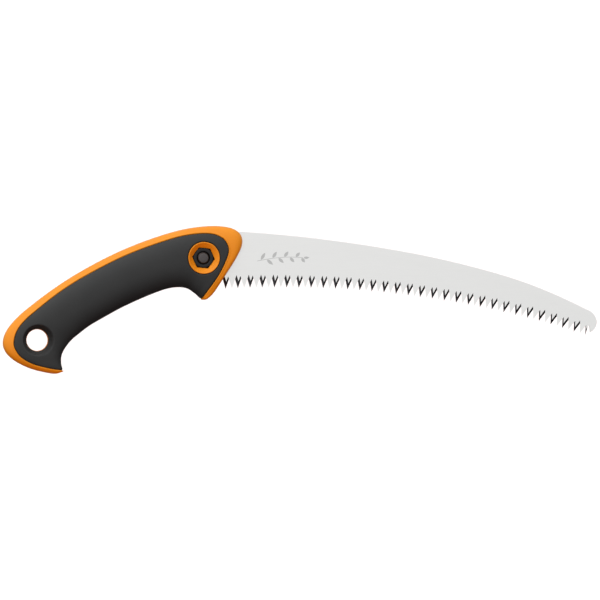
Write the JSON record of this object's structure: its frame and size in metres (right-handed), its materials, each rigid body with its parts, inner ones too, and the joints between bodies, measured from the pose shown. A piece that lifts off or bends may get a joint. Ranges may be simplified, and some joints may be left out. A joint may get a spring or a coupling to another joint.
{
  "type": "pruning saw",
  "caption": "Curved fixed-blade pruning saw with an exchangeable bolted blade, a two-colour overmoulded grip, a hooked butt and a hang hole.",
  "frame": {"origin": "centre of the hang hole, on the blade's middle plane", "axes": "+Z along the hang hole towards the nut side, +X from the butt towards the blade's tip, +Y towards the back of the blade"},
  "size_m": [0.5196, 0.1282, 0.0292],
  "materials": {
    "blade_steel": "polished, with ground bevels",
    "orange_nylon": "fine satin mould texture",
    "black_soft": "matt soft overmould",
    "black_oxide": "black oxide",
    "bolt_steel": "dark phosphated, oiled",
    "zinc_steel": "zinc plated"
  },
  "bodies": {
    "saw": {"blade": "blade_steel", "core_half_near": "orange_nylon", "core_half_far": "orange_nylon", "soft_grip": "black_soft", "blade_nut": "black_oxide", "sleeve_near": "zinc_steel", "sleeve_far": "zinc_steel", "tang_pin": "zinc_steel", "core_screws": "zinc_steel"},
    "bolt_washers": {"head_washer": "zinc_steel", "lock_washer": "zinc_steel"},
    "bolt": {"blade_bolt": "bolt_steel"}
  },
  "joints": [
    {"name": "blade_bolt_travel", "type": "slide", "parent": "saw", "child": "bolt_washers", "axis": [0, 0, -1], "range_m": [0, 0.0105]},
    {"name": "blade_bolt_turn", "type": "hinge", "parent": "bolt_washers", "child": "bolt", "pos_m": [0.1439, 0.07098, 0], "axis": [0, 0, -1], "range_deg": [0, 2525]}
  ],
  "couplings": [
    {"joint": "blade_bolt_turn", "follows": "blade_bolt_travel", "rad_per_m": 4188.8}
  ]
}
